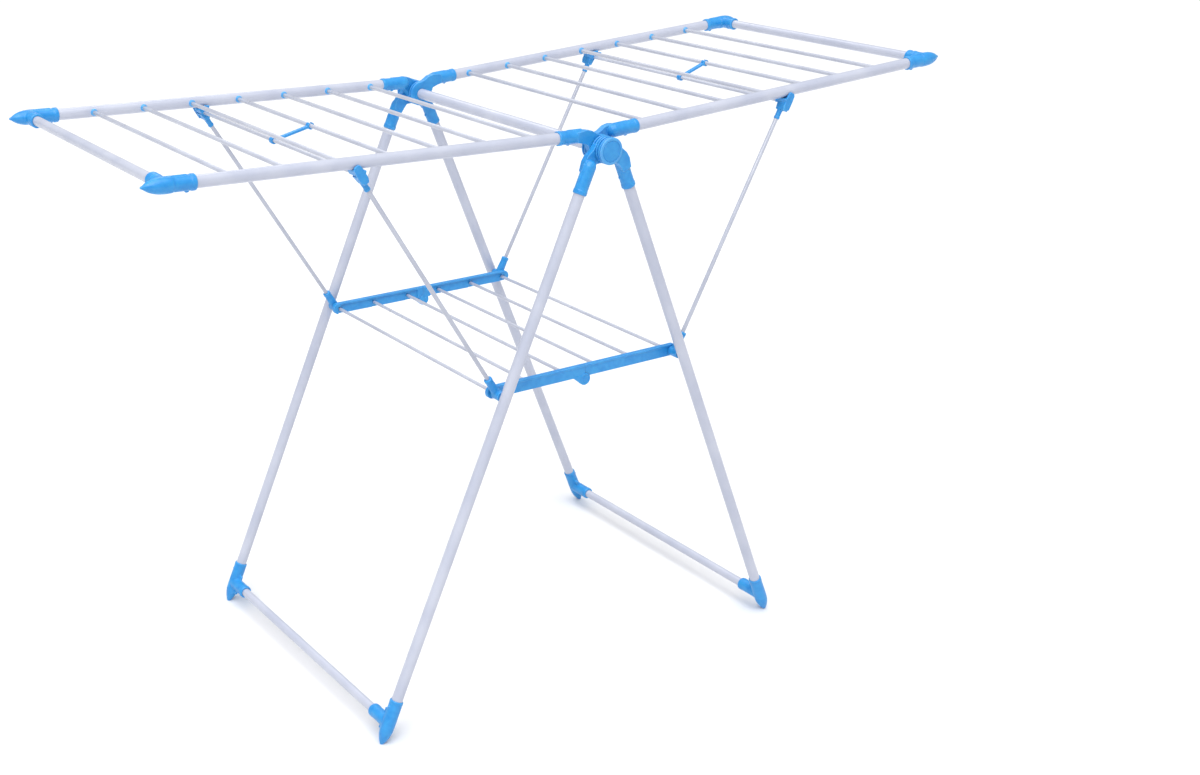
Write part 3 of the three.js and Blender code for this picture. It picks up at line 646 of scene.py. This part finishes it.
def shelf_rail(name, side, end_name, end):
    """Half a shelf rail: a flanged bar with a seat for each rod and its half of the middle hinge."""
    mirror = side * end
    node = f"shelf_rail_{name}_{end_name}"
    end_radius = (RAIL_TOP - RAIL_BOTTOM) / 2
    end_middle = (PIVOT.x + 13 - end_radius, (RAIL_TOP + RAIL_BOTTOM) / 2)
    outline = arc(end_middle, end_radius, -90, 90, 16) + [(FIT, RAIL_TOP), (FIT, RAIL_BOTTOM)]
    own, other = (RAIL_OUTER, RAIL_INNER) if name == "left" else (RAIL_INNER, RAIL_OUTER)
    lean = math.copysign(1, own - other)
    own_face = RAIL_MIDDLE + lean * FIT / 2
    other_face = RAIL_MIDDLE - lean * FIT / 2
    web_top = RAIL_TOP - RAIL_FLANGE
    under = RAIL_BOTTOM - 2
    hinge_notch = bar(MID_HINGE + FIT, 8, (0, mirror * other_face, MID.z), (0, -lean * mirror, 0))
    outer_panel = plate([(-2, under), (PIVOT.x + 30, under), (PIVOT.x + 30, web_top),
                         (-2, web_top)],
                        mirror * (RAIL_OUTER - RAIL_PANEL), mirror * (RAIL_OUTER + 2))
    inner_panel = plate([(14, under), (PIVOT.x - 3, under), (PIVOT.x - 3, web_top), (14, web_top)],
                        mirror * (RAIL_INNER - 2), mirror * (RAIL_INNER + RAIL_RECESS))
    cuts = [hinge_notch, outer_panel, inner_panel]
    seat_top = SHELF_ROD_Z + SHELF_ROD / 2 + 1.5
    for x in SHELF_ROD_X:
        cuts.append(plate([(x - side * 4.5, under), (x - side * 4.5, seat_top),
                           (x + side * 4.0, seat_top), (x + side * 13, under)],
                          mirror * (RAIL_INNER - 2), mirror * (RAIL_INNER + ROD_SEAT)))
    rail = cut_away(plate(outline, mirror * RAIL_INNER, mirror * RAIL_OUTER), cuts)
    depth = abs(own - own_face)
    eye = turned(
        [(0, MID_HINGE - 0.8), (0.8, MID_HINGE), (depth - 1.2, MID_HINGE), (depth, MID_HINGE - 1.2),
         (depth, 7.2), (depth - 0.6, 6.8), (depth - 0.6, 5.4), (depth, 5.0), (depth + 0.3, 2.5),
         (depth + 0.4, 0.2)],
        (0, mirror * own_face, MID.z), (0, lean * mirror, 0))
    parts = [rail, eye]
    if name == "left":
        neck = plate([(2, RAIL_BOTTOM + 2), (26, RAIL_BOTTOM + 2), (24, RAIL_BOTTOM), (7.5, MID.z - 8),
                      (2, MID.z - 9)], mirror * (own_face + 0.2), mirror * (own - 0.5))
        parts.append(neck)
    return piece(f"{node}_moulding", moulded(parts, grain=0.6, softness=1), side_frame(side),
                 f"{name}_shelf", PLASTIC_FINISH, [node])


for name, side in SIDES:
    for end_name, end in ENDS:
        shelf_rail(name, side, end_name, end)
    for i in range(3):
        rod = f"shelf_rod_{name}_{i + 1}"
        steel_rod(f"{rod}_steel", *across_line(rod), SHELF_ROD, f"{name}_shelf", nodes=[rod])


# ---- supports and ties ------------------------------------------------------------------------

def upright_frame(along, up, origin):
    """X and Z along two directions in the XZ plane, Y across the rack."""
    place = Matrix((along, Vector((0, 1, 0)), up)).transposed().to_4x4()
    place.translation = origin
    return place


def wing_directions(name, flip):
    """Along and up for a wing, seen from its own side, and its offset from the hub axis."""
    wing_place, wing_offset = member_frame(WING_LINE[name])
    turn = flip.inverted().to_3x3() @ wing_place.to_3x3()
    return turn @ Vector((1, 0, 0)), turn @ Vector((0, 0, 1)), wing_offset


def support_pivot(pivot, along, mirror):
    """The moulded foot of an arm: boss and pin at the leg, and a neck that takes the rod."""
    boss_from = mirror * (RAIL_OUTER + FIT)
    boss_width = LEG_Y - TUBE / 2 - FIT - RAIL_OUTER - FIT
    boss = turned([(0, SUPPORT_BOSS - 1), (0.8, SUPPORT_BOSS), (boss_width - 1, SUPPORT_BOSS),
                   (boss_width, SUPPORT_BOSS - 0.8)],
                  (pivot.x, boss_from, pivot.z), (0, mirror, 0), sides=40)
    neck = turned([(2, 7.4), (12, 7.4), (30, 6.6), (32, 7.1), (36, 7.0), (37, 5.6)], pivot, along,
                  sides=32)
    pin = bar(SUPPORT_PIN, LEG_Y - RAIL_OUTER - 2, (pivot.x, boss_from, pivot.z), (0, mirror, 0),
              sides=24)
    return moulded([boss, neck, pin], grain=0.6, softness=2)


def support_saddle(pivot, along, length, wing_along, wing_up, tube_middle, mirror):
    """The saddle at the top of an arm: two cheeks and a floor that hold the wing tube."""
    grip = TUBE / 2 + FIT
    outer_from, outer_to = mirror * (WING_Y + grip), mirror * (WING_Y + grip + SADDLE_WALL)
    inner_from, inner_to = mirror * (WING_Y - grip), mirror * (WING_Y - grip - SADDLE_WALL)
    arm_frame = upright_frame(along, Vector((0, 1, 0)).cross(along),
                              Vector((pivot.x, 0, pivot.z)))
    wing_frame = upright_frame(wing_along, wing_up, Vector((tube_middle.x, 0, tube_middle.z))
                               - wing_up * (TUBE / 2 - 4.5))
    top = length + 17
    outer_cheek = plate(
        [(length - 16, -4.6), (length - 12, -6.4), (length - 9, -SADDLE_HALF),
         (length + 6, -SADDLE_HALF), (top - 3, -6.6), (top, -4), (top, 3), (top - 3, 6.4),
         (length + 4, SADDLE_HALF), (length - 12, SADDLE_HALF), (length - 13, 4.6),
         (length - 16, 4.4)],
        outer_from, outer_to, arm_frame)
    inner_cheek = plate([(-7, -14), (6, -14), (9, -1), (8, 0), (-8, 0), (-9, -1)],
                        inner_from, inner_to, wing_frame)
    floor = plate([(-7, -14), (6, -14), (11, -5), (-8, -5)], inner_to, outer_to, wing_frame)
    lip = plate([(7, -8), (17, -6.4), (17, -4.9), (7, -4.9)], inner_to, inner_from + mirror * 3,
                wing_frame)
    shank = plate([(length - 16, -4.4), (length - 4, -6.6), (length, 6.6), (length - 16, 4.4)],
                  mirror * (WING_Y - 7), outer_to, arm_frame)
    socket = turned([(length - 32, 4.2), (length - 31, 5.0), (length - 28, 5.0),
                     (length - 27, 4.4), (length - 16, 4.8), (length - 4, 6.2)],
                    pivot, along, sides=32)
    channel = bar(grip, 80, tube_middle + Vector((0, mirror * WING_Y, 0)) - wing_along * 40,
                  wing_along)
    return moulded([outer_cheek, inner_cheek, floor, lip, shank, socket], [channel],
                   grain=0.6, softness=2)


def support(name, side):
    """A wing support: two arm rods and a cross rod in moulded saddles, on pivots at the legs."""
    node = f"{name}_wing_support"
    body = f"{name}_support"
    flip = side_frame(side)
    cross = flip.inverted() @ Vector(JOINTS[f"{name}_tie_swing"]["pos_m"]) / MM
    wing_along, wing_up, wing_offset = wing_directions(name, flip)
    cross_offset = (cross - Vector((0, 0, HUB.z / MM))).dot(wing_up)
    tube_middle = cross + wing_up * (wing_offset - cross_offset)
    for end_name, end in ENDS:
        mirror = side * end
        pivot = Vector((PIVOT.x, mirror * WING_Y, PIVOT.z))
        seat = Vector((cross.x, mirror * WING_Y, cross.z))
        along = (seat - pivot).normalized()
        length = (seat - pivot).length
        steel_rod(f"{name}_support_arm_{end_name}", flip @ (pivot + along * 12),
                  flip @ (pivot + along * (length - 20)), SUPPORT_ROD, body, slot="white_tube",
                  nodes=[node] if end_name == "near" else [])
        piece(f"{name}_support_pivot_{end_name}", support_pivot(pivot, along, mirror), flip, body,
              PLASTIC_FINISH)
        saddle = support_saddle(pivot, along, length, wing_along, wing_up, tube_middle, mirror)
        piece(f"{name}_support_saddle_{end_name}", saddle, flip, body,
              PLASTIC_FINISH)
    cross_end = Vector((0, WING_Y - 6, 0))
    middle = Vector((cross.x, 0, cross.z))
    steel_rod(f"{name}_support_cross_rod", flip @ (middle - cross_end), flip @ (middle + cross_end),
              CROSS_ROD, body)


def tie(name, side):
    """A tie: a ring round the cross rod, a flat strip and an open clip under a drying rod."""
    node = f"{name}_support_tie"
    flip = side_frame(side)
    into_side = flip.inverted()
    across = Vector((0, 1, 0))
    ring = into_side @ Vector(JOINTS[f"{name}_tie_swing"]["pos_m"]) / MM
    clip = into_side @ across_line(f"{name}_wing_rod_{TIE_ROD[name]}")[0]
    clip.y = 0
    length = (clip - ring).length
    along = (clip - ring).normalized()
    place = upright_frame(along, along.cross(across), ring)
    edge = TIE_HALF - 1
    strip = plate([(3, -1.7), (length - 3, -1.7), (length - 3, 1.7), (3, 1.7)], -edge, edge, place)
    ribs = [plate([(5, -1.2), (length - 5, -1.2), (length - 5, 2.6), (5, 2.6)], low, high, place)
            for low, high in ((-edge, -edge + 1.2), (edge - 1.2, edge))]
    width = 2 * TIE_HALF
    ring_body = turned([(0, TIE_RING - 0.7), (0.7, TIE_RING), (width - 0.7, TIE_RING),
                        (width, TIE_RING - 0.7)], ring - across * TIE_HALF, across, sides=40)
    clip_body = turned([(0, TIE_CLIP - 0.6), (0.6, TIE_CLIP), (width - 0.6, TIE_CLIP),
                        (width, TIE_CLIP - 0.6)], clip - across * TIE_HALF, across, sides=40)
    ring_hole = bar(CROSS_ROD / 2 + FIT, 20, ring - across * 10, across, sides=32)
    clip_hole = bar(ROD / 2 + FIT, 20, clip - across * 10, across, sides=32)
    wing_along, _, _ = wing_directions(name, flip)
    mouth = plate([(-2.4, 0), (2.4, 0), (3.4, 12), (-3.4, 12)], -9, 9,
                  upright_frame(wing_along, wing_along.cross(across), clip))
    mesh = moulded([strip, *ribs, ring_body, clip_body], [ring_hole, clip_hole, mouth],
                   grain=0.45, softness=2)
    piece(f"{node}_moulding", mesh, flip, f"{name}_tie", PLASTIC_FINISH, [node])


for name, side in SIDES:
    support(name, side)
    tie(name, side)


# ---- floor, light and camera, in metres ---------------------------------------------------------

FLOOR_REACH = 14.0
ROOM_LIGHT = 0.5              # what the room gives the rack
ROOM_SEEN = 1.05              # how bright the room itself looks
LIGHTS_AIM = Vector((0, 0, 0.7))
SOFT_LIGHTS = (               # name, place, width, watts
    ("key_light", (-2.4, -2.0, 3.8), 1.6, 34.0),
    ("fill_light", (3.0, -2.2, 2.2), 1.6, 3.0),
    ("back_light", (0.8, 3.0, 3.6), 1.6, 20.0),
)
CAMERA_PLACE = Vector((-1.579, -2.2653, 1.5308))
HEADING = math.radians(31.555)        # from +Y towards +X
DIP = math.radians(21.375)
ROLL = math.radians(-0.496)
LENS = 48.327                 # mm, on a sensor 36 mm wide
SHIFT = 0.1583


def in_scene(name, data):
    made = bpy.data.objects.new(name, data)
    bpy.context.scene.collection.objects.link(made)
    return made


def studio_floor():
    """A plain pale floor."""
    finish, tree = new_finish("pale_matt_floor")
    where = add_node(tree, "ShaderNodeTexCoord").outputs["Object"]
    mottle = add_node(tree, "ShaderNodeTexNoise", {"Vector": where, "Scale": 3.0, "Detail": 3.0})
    tone = add_node(tree, "ShaderNodeValToRGB", {"Fac": mottle.outputs["Fac"]})
    tone.color_ramp.elements[0].color = linear("#E9E9EA")
    tone.color_ramp.elements[1].color = linear("#EDEDEE")
    matt = add_node(tree, "ShaderNodeBsdfPrincipled",
                    {"Base Color": tone.outputs["Color"], "Roughness": 0.9})
    add_node(tree, "ShaderNodeOutputMaterial", {"Surface": matt.outputs["BSDF"]})
    corners = [(-FLOOR_REACH, -FLOOR_REACH, 0), (FLOOR_REACH, -FLOOR_REACH, 0),
               (FLOOR_REACH, FLOOR_REACH, 0), (-FLOOR_REACH, FLOOR_REACH, 0)]
    mesh = new_mesh(corners, [(0, 1, 2, 3)])
    mesh.materials.append(finish)
    in_scene("studio_floor", mesh)


def studio_room():
    """An even, near-white room that looks brighter than the light it gives."""
    world = bpy.data.worlds.new("studio_room")
    bpy.context.scene.world = world
    world.use_nodes = True
    room = world.node_tree
    room.nodes.clear()
    seen = add_node(room, "ShaderNodeLightPath").outputs["Is Camera Ray"]
    level = add_node(room, "ShaderNodeMapRange",
                     {"Value": seen, "To Min": ROOM_LIGHT, "To Max": ROOM_SEEN})
    glow = add_node(room, "ShaderNodeBackground",
                    {"Color": linear("#FAFBFE"), "Strength": level.outputs["Result"]})
    add_node(room, "ShaderNodeOutputWorld", {"Surface": glow.outputs["Background"]})


def studio_lights():
    """One wide light overhead for the whole floor, and three soft lights on the rack."""
    overhead = bpy.data.lights.new("overhead_light", "SUN")
    overhead.energy = 2.7
    overhead.angle = math.radians(70)
    in_scene("overhead_light", overhead).rotation_euler = (math.radians(14), math.radians(-12), 0)
    for name, position, size, power in SOFT_LIGHTS:
        lamp = bpy.data.lights.new(name, "AREA")
        lamp.shape = "SQUARE"
        lamp.size = size
        lamp.energy = power
        holder = in_scene(name, lamp)
        holder.location = position
        holder.rotation_mode = "QUATERNION"
        holder.rotation_quaternion = (LIGHTS_AIM - Vector(position)).to_track_quat("-Z", "Y")


def camera():
    """Stands at the left front, a little above the wings."""
    forward = Vector((math.sin(HEADING) * math.cos(DIP), math.cos(HEADING) * math.cos(DIP),
                      -math.sin(DIP)))
    level = Vector((math.cos(HEADING), -math.sin(HEADING), 0))
    upright = level.cross(forward)
    right = level * math.cos(ROLL) + upright * math.sin(ROLL)
    up = upright * math.cos(ROLL) - level * math.sin(ROLL)
    pose = Matrix((right, up, -forward)).transposed().to_4x4()
    pose.translation = CAMERA_PLACE
    data = bpy.data.cameras.new("camera")
    data.sensor_width = 36.0
    data.lens = LENS
    data.shift_x = SHIFT
    data.clip_start = 0.05
    data.clip_end = 60.0
    made = in_scene("camera", data)
    made.matrix_world = pose
    bpy.context.scene.camera = made


studio_floor()
studio_room()
studio_lights()
camera()
bpy.context.scene.view_settings.view_transform = "Standard"
